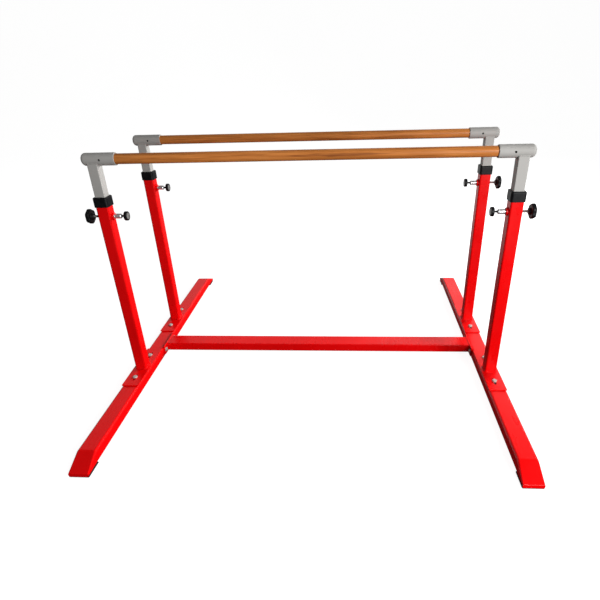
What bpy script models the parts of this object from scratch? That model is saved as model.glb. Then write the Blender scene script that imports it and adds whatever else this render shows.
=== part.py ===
"""Free-standing parallel bars with two height-adjustable rails.

Two base beams lie front to back and a crossbeam joins them. A square post stands near each end
of the crossbeam on both beams, four in all. An inner post telescopes in each one, and carries
one end of a round wooden bar. Each post has a spring pull pin on its inner side, and three of
them have a star knob clamp on the outer side.

Frame: metres, +Z up, floor at Z = 0. X runs along the bars and Y from front to back. The origin
is on the floor, midway between the four posts.
"""

import math

import bmesh
import bpy
from mathutils import Matrix, Vector

OBJECT_NAME = "parallel_bars"
CUTTERS_NAME = "cutters"
GAP = 0.0003  # clearance between two pieces that touch
OVERSHOOT = 0.010  # how far a cutter runs past the face that it opens
WELD_DISTANCE = 0.00001  # points nearer than this become one
EMBED = 0.001  # how far a joined piece reaches into the one that carries it

# Where the posts stand
POST_X = 0.800
POST_Y = 0.237

# Base beams, rectangular tube with sloped ends, on rubber pads
PAD_THICKNESS = 0.003
PAD_LENGTH = 0.075
PAD_OVERHANG = 0.0005
PAD_CORNER = 0.012
BEAM_WIDTH = 0.075
BEAM_HEIGHT = 0.050
BEAM_LENGTH = 1.706
BEAM_SLOPE_LENGTH = 0.080
BEAM_END_HEIGHT = 0.014
BEAM_CORNER = 0.010
BEAM_WALL = 0.0025
BEAM_TOP = PAD_THICKNESS + BEAM_HEIGHT

# Crossbeam, with a bolted flange at each end
CROSSBEAM_WIDTH = 0.080
CROSSBEAM_HEIGHT = 0.040
CROSSBEAM_TOP = 0.059
CROSSBEAM_CORNER = 0.004
FLANGE_LENGTH = 0.142
FLANGE_THICKNESS = 0.005
FLANGE_BOTTOM = 0.014
FLANGE_TOP = 0.060
FLANGE_BOLT_Y = 0.058
FLANGE_BOLT_Z = (FLANGE_BOTTOM + FLANGE_TOP) / 2
PLATE_CORNER = 0.003

# Posts: square tube on a foot plate
POST_SIZE = 0.050
POST_CORNER = 0.0075
POST_WALL = 0.0025
POST_TOP = 0.847
PLATE_LENGTH = 0.300
PLATE_THICKNESS = 0.005
PLATE_BOTTOM = BEAM_TOP + GAP
PLATE_TOP = PLATE_BOTTOM + PLATE_THICKNESS
FOOT_BOLT_OFFSET = 0.090
FOOT_SLOT_LENGTH = 0.050  # end to end; the slot is as wide as a bolt hole

# Plastic collar on the top of a post
COLLAR_SIZE = 0.058
COLLAR_CORNER = 0.010
COLLAR_BOTTOM = 0.827
COLLAR_HEIGHT = 0.039
COLLAR_SKIRT_BOTTOM = 0.800

# Inner posts, with a row of holes for the pull pin
INNER_SIZE = 0.040
INNER_CORNER = 0.003
INNER_WALL = 0.002
SADDLE_SIDES = 32
INNER_BOTTOM = 0.340
HOLE_COUNT = 7
HOLE_PITCH = 0.050
HOLE_RADIUS = 0.0053
INDEX_HOLE_SIDES = 10

# Sleeves and bars
BAR_Z = 1.008
BAR_RADIUS = 0.020
BAR_END_CLEARANCE = 0.003
BAR_SIDES = 24
SLEEVE_RADIUS = 0.024
SLEEVE_BORE = 0.0204
SLEEVE_INNER_X = 0.709
SLEEVE_OUTER_X = 0.842
SLEEVE_END_WALL = 0.010
SLEEVE_END_ROUNDING = 0.015
SLEEVE_END_STEPS = 3
SLEEVE_SIDES = 20
SET_SCREW_X = 0.766
SET_SCREW_RADIUS = 0.004
SET_SCREW_RECESS = 0.001

# Pull pins and clamps share one height on the post
LOCK_Z = 0.785
BOSS_RADIUS = 0.015
BOSS_LENGTH = 0.008
PLUNGER_NOSE_RADIUS = 0.006
PLUNGER_RADIUS = 0.010
PLUNGER_LENGTH = 0.029
PLUNGER_TAPER_WIDTH = 0.002
PLUNGER_TAPER_LENGTH = 0.003
PIN_RADIUS = 0.004
PIN_NECK = 0.0125
PIN_KNOB_RADIUS = 0.0185
PIN_KNOB_LENGTH = 0.014
PIN_KNOB_ROUNDING = 0.0025
PIN_TIP_CHAMFER = 0.001
PIN_TIP_CLEARANCE = 0.0005

CLAMP_RADIUS = 0.005
CLAMP_HUB_RADIUS = 0.013
CLAMP_HUB_START = 0.027
CLAMP_HUB_LENGTH = 0.008
CLAMP_KNOB_THICKNESS = 0.016
CLAMP_LOBE_RADIUS = 0.030
CLAMP_VALLEY_RADIUS = 0.025
CLAMP_LOBES = 6
CLAMP_POINTS_PER_LOBE = 6
CLAMP_EDGE_HEIGHT = 0.004
CLAMP_FACE_SHARE = 0.88  # size of the knob's flat faces against its full outline
CLAMP_SCREW_ENGAGED = 0.018

# Bolts
BOLT_RADIUS = 0.005
BOLT_HOLE_RADIUS = 0.0055
BOLT_LENGTH = 0.022
BOLT_HEAD_RADIUS = 0.0098
BOLT_HEAD_HEIGHT = 0.007
WASHER_RADIUS = 0.0105
WASHER_THICKNESS = 0.002
BOLT_HOLE_SIDES = 12
SHANK_SIDES = 8
HEXAGON = 6

ROUND_SIDES = 16  # sides of a small round piece

LEFT = -1
RIGHT = 1
SIDES = {"left": LEFT, "right": RIGHT}
ROWS = {"front": -1, "back": 1}
POSTS = [(row, side) for row in ROWS for side in SIDES]
CLAMPED_POSTS = [post for post in POSTS if post != ("back", "left")]

# colour, roughness, metallic
MATERIALS = {
    "red_paint": ((0.86, 0.003, 0.005), 0.28, 0.0),
    "grey_paint": ((0.44, 0.43, 0.41), 0.58, 0.0),
    "wood": ((0.66, 0.26, 0.065), 0.38, 0.0),
    "black_plastic": ((0.012, 0.012, 0.013), 0.40, 0.0),
    "black_rubber": ((0.02, 0.02, 0.02), 0.80, 0.0),
    "zinc_steel": ((0.62, 0.61, 0.57), 0.35, 1.0),
    "black_steel": ((0.020, 0.019, 0.018), 0.45, 1.0),
    "chrome": ((0.75, 0.76, 0.78), 0.12, 1.0),
}


def clear_scene():
    for obj in list(bpy.data.objects):
        bpy.data.objects.remove(obj)


def new_collection(name):
    collection = bpy.data.collections.new(name)
    bpy.context.scene.collection.children.link(collection)


def link_to(collection_name, obj):
    bpy.data.collections[collection_name].objects.link(obj)


def new_material(name):
    colour, roughness, metallic = MATERIALS[name]
    material = bpy.data.materials.new(name)
    material.use_nodes = True
    shader = material.node_tree.nodes["Principled BSDF"]
    shader.inputs["Base Color"].default_value = (*colour, 1.0)
    shader.inputs["Roughness"].default_value = roughness
    shader.inputs["Metallic"].default_value = metallic
    material.diffuse_color = (*colour, 1.0)
    return material


def mesh_from(name, work):
    """Turn a bmesh into a mesh with its faces pointing out."""
    bmesh.ops.recalc_face_normals(work, faces=work.faces)
    mesh = bpy.data.meshes.new(name)
    work.to_mesh(mesh)
    work.free()
    return mesh


def rounded_block(name, low, high, axis, radius=0.0, segments=3):
    """A block between two corners. Its four edges along axis (0, 1 or 2) are rounded."""
    low, high = Vector(low), Vector(high)
    work = bmesh.new()
    bmesh.ops.create_cube(work, size=1.0)
    for vertex in work.verts:
        for i in range(3):
            vertex.co[i] = (low[i] + high[i]) / 2 + vertex.co[i] * (high[i] - low[i])
    if radius:
        along = [
            edge for edge in work.edges
            if abs((edge.verts[0].co - edge.verts[1].co).normalized()[axis]) > 0.99
        ]
        bmesh.ops.bevel(
            work, geom=along, offset=radius, segments=segments, profile=0.5, affect="EDGES"
        )
    return mesh_from(name, work)


def slot_cutter(y, low, high):
    """A cutter for a foot bolt's slot, which runs along Y so that the post can be set along its beam."""
    radius = BOLT_HOLE_RADIUS
    reach = FOOT_SLOT_LENGTH / 2
    rounding = 0.98 * radius  # a full radius would leave the ends' flats with no width
    return rounded_block("foot_slot", (-radius, y - reach, low), (radius, y + reach, high), 2, rounding)


def cylinder(name, radius, start, end, segments=ROUND_SIDES):
    """A closed cylinder between two points."""
    start, end = Vector(start), Vector(end)
    work = bmesh.new()
    bmesh.ops.create_cone(
        work, cap_ends=True, segments=segments,
        radius1=radius, radius2=radius, depth=(end - start).length,
        matrix=Matrix.Rotation(math.pi / segments, 4, "Z"),
    )
    turn = (end - start).to_track_quat("Z", "Y").to_matrix().to_4x4()
    place_there = Matrix.Translation((start + end) / 2) @ turn
    bmesh.ops.transform(work, matrix=place_there, verts=work.verts)
    return mesh_from(name, work)


def turned(name, profile, steps):
    """A solid turned about Z. The profile is (radius, height), from the top of the axis down."""
    mesh = bpy.data.meshes.new(name + "_profile")
    points = [(radius, 0.0, height) for radius, height in profile]
    edges = [(i, i + 1) for i in range(len(points) - 1)]
    mesh.from_pydata(points, edges, [])
    blank = bpy.data.objects.new(name + "_blank", mesh)
    link_to(OBJECT_NAME, blank)
    screw = blank.modifiers.new("turn", "SCREW")
    screw.steps = steps
    screw.render_steps = steps
    screw.use_merge_vertices = True
    screw.merge_threshold = WELD_DISTANCE
    return finished(name, blank)


def finished(name, blank):
    """The mesh of an object as its modifiers leave it. The object itself is removed."""
    bpy.context.view_layer.update()
    graph = bpy.context.evaluated_depsgraph_get()
    mesh = bpy.data.meshes.new_from_object(blank.evaluated_get(graph))
    mesh.name = name
    bpy.data.objects.remove(blank)
    work = bmesh.new()
    work.from_mesh(mesh)
    bmesh.ops.remove_doubles(work, verts=work.verts, dist=WELD_DISTANCE)
    bmesh.ops.recalc_face_normals(work, faces=work.faces)
    work.to_mesh(mesh)
    work.free()
    return mesh


def combined(name, base, joined=(), cut=()):
    """The base mesh with other meshes joined to it, and then others cut from it."""
    blank = bpy.data.objects.new(name + "_blank", base)
    link_to(OBJECT_NAME, blank)
    for operation, meshes in (("UNION", joined), ("DIFFERENCE", cut)):
        for mesh in meshes:
            tool = bpy.data.objects.new(mesh.name, mesh)
            link_to(CUTTERS_NAME, tool)
            tool.hide_render = True
            tool.display_type = "WIRE"
            boolean = blank.modifiers.new(operation.lower(), "BOOLEAN")
            boolean.operation = operation
            boolean.solver = "EXACT"
            boolean.object = tool
    return finished(name, blank)


def place(name, mesh, material, location=(0.0, 0.0, 0.0), rotation=(0.0, 0.0, 0.0)):
    obj = bpy.data.objects.new(name, mesh)
    if not mesh.materials:
        mesh.materials.append(material)
    link_to(OBJECT_NAME, obj)
    obj.location = location
    obj.rotation_euler = rotation


def shade_round(mesh, angle=35.0):
    mesh.shade_smooth()
    mesh.set_sharp_from_angle(angle=math.radians(angle))
    return mesh


def facing_inward(side):
    """Rotation into a post's own frame, where +X points to the middle of the object."""
    return (0.0, 0.0, 0.0 if side == "left" else math.pi)


def post_location(row, side, z=0.0):
    return (SIDES[side] * POST_X, ROWS[row] * POST_Y, z)


def inward_axis(side):
    """Rotation that lays a piece turned about Z along X, with its +Z end inward."""
    return (0.0, math.pi / 2 if side == "left" else -math.pi / 2, 0.0)


def outward_axis(side):
    """Rotation that lays a piece turned about Z along X, with its +Z end outward."""
    return inward_axis("right" if side == "left" else "left")


def beam_mesh():
    half_width = BEAM_WIDTH / 2
    half_length = BEAM_LENGTH / 2
    outside = rounded_block(
        "beam_outside",
        (-half_width, -half_length, PAD_THICKNESS), (half_width, half_length, BEAM_TOP),
        axis=1, radius=BEAM_CORNER,
    )
    work = bmesh.new()
    work.from_mesh(outside)
    drop = BEAM_HEIGHT - BEAM_END_HEIGHT
    for end in (-1, 1):
        normal = Vector((0.0, end * drop, BEAM_SLOPE_LENGTH)).normalized()
        kink = Vector((0.0, end * (half_length - BEAM_SLOPE_LENGTH), BEAM_TOP))
        cut = bmesh.ops.bisect_plane(
            work, geom=work.verts[:] + work.edges[:] + work.faces[:],
            plane_co=kink, plane_no=normal, clear_outer=True,
        )
        rim = [piece for piece in cut["geom_cut"] if isinstance(piece, bmesh.types.BMEdge)]
        bmesh.ops.contextual_create(work, geom=rim)
    outside = mesh_from("beam_outside_sloped", work)

    hollow_half = half_length - BEAM_SLOPE_LENGTH
    hollow = rounded_block(
        "beam_hollow",
        (-half_width + BEAM_WALL, -hollow_half, PAD_THICKNESS + BEAM_WALL),
        (half_width - BEAM_WALL, hollow_half, BEAM_TOP - BEAM_WALL),
        axis=1, radius=BEAM_CORNER - BEAM_WALL,
    )
    holes = []
    for row in ROWS.values():
        for offset in (-FOOT_BOLT_OFFSET, FOOT_BOLT_OFFSET):
            y = row * POST_Y + offset
            holes.append(slot_cutter(y, BEAM_TOP - OVERSHOOT, BEAM_TOP + OVERSHOOT))
        y = row * FLANGE_BOLT_Y
        holes.append(cylinder(
            "beam_side_hole", BOLT_HOLE_RADIUS,
            (half_width - OVERSHOOT, y, FLANGE_BOLT_Z), (half_width + OVERSHOOT, y, FLANGE_BOLT_Z),
            BOLT_HOLE_SIDES,
        ))
    return combined("base_beam", outside, cut=[hollow] + holes)


def build_beams(red):
    mesh = shade_round(beam_mesh())
    for side, sign in SIDES.items():
        place("base_beam_" + side, mesh, red, (sign * POST_X, 0.0, 0.0), facing_inward(side))


def build_foot_pads(rubber):
    end = BEAM_LENGTH / 2
    half_width = BEAM_WIDTH / 2 + PAD_OVERHANG
    mesh = rounded_block(
        "foot_pad", (-half_width, end - PAD_LENGTH, 0.0), (half_width, end, PAD_THICKNESS - GAP),
        axis=2, radius=PAD_CORNER,
    )
    for row, side in POSTS:
        location = (SIDES[side] * POST_X, 0.0, 0.0)
        turn = 0.0 if row == "back" else math.pi
        place(f"foot_pad_{row}_{side}", mesh, rubber, location, (0.0, 0.0, turn))


def build_crossbeam(red):
    beam_face = POST_X - BEAM_WIDTH / 2
    flange_outer = beam_face - GAP
    flange_inner = flange_outer - FLANGE_THICKNESS
    half_length = flange_inner - GAP
    half_width = CROSSBEAM_WIDTH / 2
    bottom = CROSSBEAM_TOP - CROSSBEAM_HEIGHT
    outside = rounded_block(
        "crossbeam_outside",
        (-half_length, -half_width, bottom), (half_length, half_width, CROSSBEAM_TOP),
        axis=0, radius=CROSSBEAM_CORNER,
    )
    hollow = rounded_block(
        "crossbeam_hollow",
        (-half_length - OVERSHOOT, -half_width + BEAM_WALL, bottom + BEAM_WALL),
        (half_length + OVERSHOOT, half_width - BEAM_WALL, CROSSBEAM_TOP - BEAM_WALL),
        axis=0, radius=CROSSBEAM_CORNER - BEAM_WALL, segments=2,
    )
    place("crossbeam", shade_round(combined("crossbeam", outside, cut=[hollow])), red)

    plate = rounded_block(
        "flange_plate",
        (flange_inner, -FLANGE_LENGTH / 2, FLANGE_BOTTOM), (flange_outer, FLANGE_LENGTH / 2, FLANGE_TOP),
        axis=0, radius=PLATE_CORNER, segments=2,
    )
    z = FLANGE_BOLT_Z
    holes = []
    for y in (-FLANGE_BOLT_Y, FLANGE_BOLT_Y):
        holes.append(cylinder(
            "flange_hole", BOLT_HOLE_RADIUS,
            (flange_inner - OVERSHOOT, y, z), (flange_outer + OVERSHOOT, y, z), BOLT_HOLE_SIDES,
        ))
    mesh = combined("crossbeam_flange", plate, cut=holes)
    for side in SIDES:
        turn = math.pi if side == "left" else 0.0
        place("crossbeam_flange_" + side, mesh, red, rotation=(0.0, 0.0, turn))


def post_mesh():
    half = POST_SIZE / 2
    tube = rounded_block(
        "post_tube", (-half, -half, PLATE_TOP - EMBED), (half, half, POST_TOP), axis=2, radius=POST_CORNER
    )
    plate = rounded_block(
        "foot_plate",
        (-BEAM_WIDTH / 2, -PLATE_LENGTH / 2, PLATE_BOTTOM), (BEAM_WIDTH / 2, PLATE_LENGTH / 2, PLATE_TOP),
        axis=2, radius=PLATE_CORNER, segments=2,
    )
    boss_face = half + BOSS_LENGTH
    boss = cylinder("boss", BOSS_RADIUS, (half - EMBED, 0.0, LOCK_Z), (boss_face, 0.0, LOCK_Z))
    inside = half - POST_WALL
    hollow = rounded_block(
        "post_hollow", (-inside, -inside, PLATE_TOP), (inside, inside, POST_TOP + OVERSHOOT),
        axis=2, radius=POST_CORNER - POST_WALL, segments=2,
    )
    holes = []
    for y in (-FOOT_BOLT_OFFSET, FOOT_BOLT_OFFSET):
        holes.append(slot_cutter(y, PLATE_BOTTOM - OVERSHOOT, PLATE_TOP + OVERSHOOT))
    holes.append(cylinder(
        "plunger_hole", PLUNGER_NOSE_RADIUS + GAP,
        (inside - OVERSHOOT, 0.0, LOCK_Z), (boss_face + OVERSHOOT, 0.0, LOCK_Z), BOLT_HOLE_SIDES,
    ))
    holes.append(cylinder(
        "clamp_hole", CLAMP_RADIUS + GAP,
        (-half - OVERSHOOT, 0.0, LOCK_Z), (-inside + OVERSHOOT, 0.0, LOCK_Z), BOLT_HOLE_SIDES,
    ))
    return combined("post", tube, joined=[plate, boss], cut=[hollow] + holes)


def build_posts(red):
    mesh = shade_round(post_mesh())
    for row, side in POSTS:
        place(f"post_{row}_{side}", mesh, red, post_location(row, side), facing_inward(side))


def build_collars(plastic):
    half = COLLAR_SIZE / 2
    top = COLLAR_BOTTOM + COLLAR_HEIGHT
    cap = rounded_block(
        "collar_cap", (-half, -half, COLLAR_BOTTOM), (half, half, top), axis=2, radius=COLLAR_CORNER
    )
    seat = POST_SIZE / 2 + GAP
    over_post = rounded_block(
        "collar_seat", (-seat, -seat, COLLAR_BOTTOM - OVERSHOOT), (seat, seat, POST_TOP + GAP),
        axis=2, radius=POST_CORNER,
    )
    skirt_half = POST_SIZE / 2 - POST_WALL - GAP
    skirt = rounded_block(
        "collar_skirt",
        (-skirt_half, -skirt_half, COLLAR_SKIRT_BOTTOM), (skirt_half, skirt_half, top - EMBED),
        axis=2, radius=POST_CORNER - POST_WALL, segments=2,
    )
    mouth_half = INNER_SIZE / 2 + GAP
    mouth = rounded_block(
        "collar_mouth",
        (-mouth_half, -mouth_half, COLLAR_SKIRT_BOTTOM - OVERSHOOT),
        (mouth_half, mouth_half, top + OVERSHOOT),
        axis=2, radius=INNER_CORNER, segments=2,
    )
    seated = combined("collar_seated", cap, cut=[over_post])
    mesh = shade_round(combined("post_collar", seated, joined=[skirt], cut=[mouth]))
    for row, side in POSTS:
        name = f"post_collar_{row}_{side}"
        place(name, mesh, plastic, post_location(row, side), facing_inward(side))


def inner_post_mesh():
    half = INNER_SIZE / 2
    tube = rounded_block(
        "inner_tube", (-half, -half, INNER_BOTTOM), (half, half, BAR_Z),
        axis=2, radius=INNER_CORNER, segments=2,
    )
    inside = half - INNER_WALL
    hollow = rounded_block(
        "inner_hollow",
        (-inside, -inside, INNER_BOTTOM - OVERSHOOT), (inside, inside, BAR_Z + OVERSHOOT), axis=2,
    )
    reach = half + OVERSHOOT
    saddle = cylinder(
        "saddle", SLEEVE_RADIUS + GAP, (-reach, 0.0, BAR_Z), (reach, 0.0, BAR_Z), SADDLE_SIDES
    )
    holes = []
    for i in range(HOLE_COUNT):
        z = LOCK_Z - i * HOLE_PITCH
        holes.append(cylinder(
            "index_hole", HOLE_RADIUS, (inside - OVERSHOOT, 0.0, z), (reach, 0.0, z), INDEX_HOLE_SIDES
        ))
    return combined("inner_post", tube, cut=[hollow, saddle] + holes)


def build_inner_posts(grey):
    mesh = shade_round(inner_post_mesh())
    for row, side in POSTS:
        place(f"inner_post_{row}_{side}", mesh, grey, post_location(row, side), facing_inward(side))


def sleeve_mesh():
    """A closed-end sleeve along +Z: the open mouth is at 0, and its set screw hole faces local -Y."""
    length = SLEEVE_OUTER_X - SLEEVE_INNER_X
    bottom = length - SLEEVE_END_WALL
    profile = [(0.0, length)]
    corner_height = length - SLEEVE_END_ROUNDING
    corner_radius = SLEEVE_RADIUS - SLEEVE_END_ROUNDING
    for i in range(SLEEVE_END_STEPS + 1):
        angle = math.pi / 2 * (1 - i / SLEEVE_END_STEPS)
        profile.append((
            corner_radius + SLEEVE_END_ROUNDING * math.cos(angle),
            corner_height + SLEEVE_END_ROUNDING * math.sin(angle),
        ))
    profile += [
        (SLEEVE_RADIUS, 0.0), (SLEEVE_BORE, 0.0),
        (SLEEVE_BORE, bottom), (0.0, bottom),
    ]
    body = turned("sleeve_body", profile, SLEEVE_SIDES)
    height = SET_SCREW_X - SLEEVE_INNER_X
    hole = cylinder(
        "set_screw_hole", SET_SCREW_RADIUS + GAP,
        (0.0, -SLEEVE_BORE + OVERSHOOT, height), (0.0, -SLEEVE_RADIUS - OVERSHOOT, height),
        BOLT_HOLE_SIDES,
    )
    return combined("bar_sleeve", body, cut=[hole])


def build_sleeves(grey):
    mesh = shade_round(sleeve_mesh())
    for row, side in POSTS:
        location = (SIDES[side] * SLEEVE_INNER_X, ROWS[row] * POST_Y, BAR_Z)
        place(f"bar_sleeve_{row}_{side}", mesh, grey, location, outward_axis(side))


def build_set_screws(black_steel):
    mesh = shade_round(cylinder(
        "set_screw", SET_SCREW_RADIUS,
        (0.0, -BAR_RADIUS - 2 * GAP, 0.0), (0.0, -SLEEVE_RADIUS + SET_SCREW_RECESS, 0.0), BOLT_HOLE_SIDES,
    ))
    for row, side in POSTS:
        location = (SIDES[side] * SET_SCREW_X, ROWS[row] * POST_Y, BAR_Z)
        place(f"set_screw_{row}_{side}", mesh, black_steel, location)


def build_bars(wood):
    half_length = SLEEVE_OUTER_X - SLEEVE_END_WALL - BAR_END_CLEARANCE
    mesh = shade_round(cylinder(
        "wooden_bar", BAR_RADIUS, (-half_length, 0.0, 0.0), (half_length, 0.0, 0.0), BAR_SIDES
    ))
    for row in ROWS:
        place("wooden_bar_" + row, mesh, wood, (0.0, ROWS[row] * POST_Y, BAR_Z))


def build_plungers(chrome, plastic):
    """Pull pins along X. In their own frame 0 is the post's centre and +Z points inward."""
    face = POST_SIZE / 2 + BOSS_LENGTH + GAP
    nose = POST_SIZE / 2 - POST_WALL + GAP
    end = face + PLUNGER_LENGTH
    bore = PIN_RADIUS + GAP
    ring = [
        (bore, end), (PLUNGER_RADIUS - PLUNGER_TAPER_WIDTH, end),
        (PLUNGER_RADIUS, end - PLUNGER_TAPER_LENGTH), (PLUNGER_RADIUS, face),
        (PLUNGER_NOSE_RADIUS, face), (PLUNGER_NOSE_RADIUS, nose), (bore, nose), (bore, end),
    ]
    body = shade_round(turned("plunger_body", ring, ROUND_SIDES))

    tip = INNER_SIZE / 2 + PIN_TIP_CLEARANCE
    knob_start = end + PIN_NECK
    knob_end = knob_start + PIN_KNOB_LENGTH
    knob_flat = PIN_KNOB_RADIUS - PIN_KNOB_ROUNDING
    profile = [
        (0.0, knob_end), (knob_flat, knob_end), (PIN_KNOB_RADIUS, knob_end - PIN_KNOB_ROUNDING),
        (PIN_KNOB_RADIUS, knob_start + PIN_KNOB_ROUNDING), (knob_flat, knob_start),
        (PIN_RADIUS, knob_start), (PIN_RADIUS, tip + PIN_TIP_CHAMFER),
        (PIN_RADIUS - PIN_TIP_CHAMFER, tip), (0.0, tip),
    ]
    pin = shade_round(turned("pull_pin", profile, ROUND_SIDES))
    for row, side in POSTS:
        location = post_location(row, side, LOCK_Z)
        place(f"plunger_body_{row}_{side}", body, chrome, location, inward_axis(side))
        place(f"pull_pin_{row}_{side}", pin, plastic, location, inward_axis(side))


def star_outline(count):
    """Points round a star with rounded lobes, as a radius that rises and falls."""
    middle = (CLAMP_LOBE_RADIUS + CLAMP_VALLEY_RADIUS) / 2
    swing = (CLAMP_LOBE_RADIUS - CLAMP_VALLEY_RADIUS) / 2
    points = []
    for i in range(count):
        angle = 2 * math.pi * i / count
        radius = middle + swing * math.cos(CLAMP_LOBES * angle)
        points.append((radius * math.cos(angle), radius * math.sin(angle)))
    return points


def star_mesh(low, high):
    """The lobed disc of a clamp knob: four sections of the star, joined by side faces."""
    outline = star_outline(CLAMP_LOBES * CLAMP_POINTS_PER_LOBE)
    sections = [
        (low, CLAMP_FACE_SHARE), (low + CLAMP_EDGE_HEIGHT, 1.0),
        (high - CLAMP_EDGE_HEIGHT, 1.0), (high, CLAMP_FACE_SHARE),
    ]
    work = bmesh.new()
    rings = []
    for z, scale in sections:
        rings.append([work.verts.new((x * scale, y * scale, z)) for x, y in outline])
    for below, above in zip(rings, rings[1:]):
        for i in range(len(outline)):
            j = (i + 1) % len(outline)
            work.faces.new((below[i], below[j], above[j], above[i]))
    work.faces.new(list(reversed(rings[0])))
    work.faces.new(rings[-1])
    return mesh_from("star", work)


def build_clamps(zinc, plastic):
    """Clamp screws along X. In their own frame 0 is the post's centre and +Z points outward."""
    hub_start = CLAMP_HUB_START + POST_SIZE / 2
    star_start = hub_start + CLAMP_HUB_LENGTH
    star_end = star_start + CLAMP_KNOB_THICKNESS
    screw_end = hub_start + CLAMP_SCREW_ENGAGED
    tip = INNER_SIZE / 2 + GAP
    screw = shade_round(cylinder(
        "clamp_screw", CLAMP_RADIUS, (0.0, 0.0, tip), (0.0, 0.0, screw_end), BOLT_HOLE_SIDES
    ))
    hub = cylinder(
        "clamp_hub", CLAMP_HUB_RADIUS, (0.0, 0.0, hub_start), (0.0, 0.0, star_start + EMBED)
    )
    socket = cylinder(
        "clamp_socket", CLAMP_RADIUS + GAP,
        (0.0, 0.0, hub_start - OVERSHOOT), (0.0, 0.0, screw_end + GAP), BOLT_HOLE_SIDES,
    )
    star = star_mesh(star_start, star_end)
    knob = shade_round(combined("clamp_knob", star, joined=[hub], cut=[socket]))
    for row, side in CLAMPED_POSTS:
        location = post_location(row, side, LOCK_Z)
        place(f"clamp_screw_{row}_{side}", screw, zinc, location, outward_axis(side))
        place(f"clamp_knob_{row}_{side}", knob, plastic, location, outward_axis(side))


def bolt_mesh():
    """A hex bolt with its washer. Its head is above 0 and its shank runs down from 0."""
    inside_washer = (0.0, 0.0, WASHER_THICKNESS / 2)
    head_top = (0.0, 0.0, WASHER_THICKNESS + BOLT_HEAD_HEIGHT)
    washer = cylinder("washer", WASHER_RADIUS, (0.0, 0.0, 0.0), (0.0, 0.0, WASHER_THICKNESS))
    head = cylinder("bolt_head", BOLT_HEAD_RADIUS, inside_washer, head_top, HEXAGON)
    shank = cylinder("bolt_shank", BOLT_RADIUS, (0.0, 0.0, -BOLT_LENGTH), inside_washer, SHANK_SIDES)
    return combined("bolt", washer, joined=[head, shank])


def build_bolts(zinc):
    mesh = shade_round(bolt_mesh())
    for row, side in POSTS:
        for number, offset in enumerate((-FOOT_BOLT_OFFSET, FOOT_BOLT_OFFSET), start=1):
            x, y, z = post_location(row, side, PLATE_TOP + GAP)
            place(f"foot_bolt_{row}_{side}_{number}", mesh, zinc, (x, y + offset, z))
    flange_face = POST_X - BEAM_WIDTH / 2 - GAP - FLANGE_THICKNESS - GAP
    for side in SIDES:
        for number, y in enumerate((-FLANGE_BOLT_Y, FLANGE_BOLT_Y), start=1):
            location = (SIDES[side] * flange_face, y, FLANGE_BOLT_Z)
            place(f"flange_bolt_{side}_{number}", mesh, zinc, location, inward_axis(side))


def main():
    clear_scene()
    new_collection(OBJECT_NAME)
    new_collection(CUTTERS_NAME)
    paint = {name: new_material(name) for name in MATERIALS}
    build_beams(paint["red_paint"])
    build_foot_pads(paint["black_rubber"])
    build_crossbeam(paint["red_paint"])
    build_posts(paint["red_paint"])
    build_collars(paint["black_plastic"])
    build_inner_posts(paint["grey_paint"])
    build_sleeves(paint["grey_paint"])
    build_set_screws(paint["black_steel"])
    build_bars(paint["wood"])
    build_plungers(paint["chrome"], paint["black_plastic"])
    build_clamps(paint["zinc_steel"], paint["black_plastic"])
    build_bolts(paint["zinc_steel"])


main()
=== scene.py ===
"""The look of the free-standing parallel bars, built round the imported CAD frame.

Every piece is made in the row frame: metres, +Z up, X along the bars, Y from front to back. Each one is
modelled in a simple frame of its own, turned into the row frame in its mesh, and rides on its CAD body.
Sizes and places come from the boxes of the CAD nodes.
"""

import math

import bmesh
import bpy
from mathutils import Matrix, Vector, noise


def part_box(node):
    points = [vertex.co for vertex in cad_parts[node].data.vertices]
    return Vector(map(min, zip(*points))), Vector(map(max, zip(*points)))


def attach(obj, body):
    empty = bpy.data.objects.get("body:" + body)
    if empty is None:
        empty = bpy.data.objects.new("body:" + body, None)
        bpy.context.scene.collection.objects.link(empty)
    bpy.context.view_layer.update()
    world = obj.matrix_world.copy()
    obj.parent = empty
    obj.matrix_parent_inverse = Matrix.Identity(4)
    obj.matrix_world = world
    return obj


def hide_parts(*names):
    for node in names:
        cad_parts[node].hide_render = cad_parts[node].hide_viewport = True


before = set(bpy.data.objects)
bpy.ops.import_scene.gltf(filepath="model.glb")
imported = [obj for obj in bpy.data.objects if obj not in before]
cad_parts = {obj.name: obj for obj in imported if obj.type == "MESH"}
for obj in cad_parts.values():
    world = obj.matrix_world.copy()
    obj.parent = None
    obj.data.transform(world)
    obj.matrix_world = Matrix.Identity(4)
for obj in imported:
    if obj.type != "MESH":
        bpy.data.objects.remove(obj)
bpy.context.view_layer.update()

SIDES = {"left": -1, "right": 1}
ROWS = {"front": -1, "back": 1}
POSTS = [(row, side) for row in ROWS for side in SIDES]
CLAMPED_POSTS = [post for post in POSTS if post != ("back", "left")]

MM = 0.001
ARC_STEPS = 6
ROUND_STEPS = 64


# ---- Sizes read from the CAD -------------------------------------------------------------------

def middle(node):
    low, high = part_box(node)
    return (low + high) / 2


def size(node):
    low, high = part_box(node)
    return high - low


POST_X = middle("post_collar_front_right").x
POST_Y = middle("post_collar_back_right").y
BAR_Z = middle("wooden_bar_front").z
LOCK_Z = middle("pull_pin_front_left").z
BEAM_LOW, BEAM_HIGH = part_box("base_beam_right")
PLATE_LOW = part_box("post_front_right")[0]
POST_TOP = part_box("post_front_right")[1].z
CROSS_LOW, CROSS_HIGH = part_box("crossbeam")
COLLAR_LOW, COLLAR_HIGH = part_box("post_collar_front_right")
INNER_LOW, INNER_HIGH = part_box("inner_post_front_right")
SLEEVE_LOW, SLEEVE_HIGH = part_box("bar_sleeve_front_right")
FLANGE_LOW, FLANGE_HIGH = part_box("crossbeam_flange_right")

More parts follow.
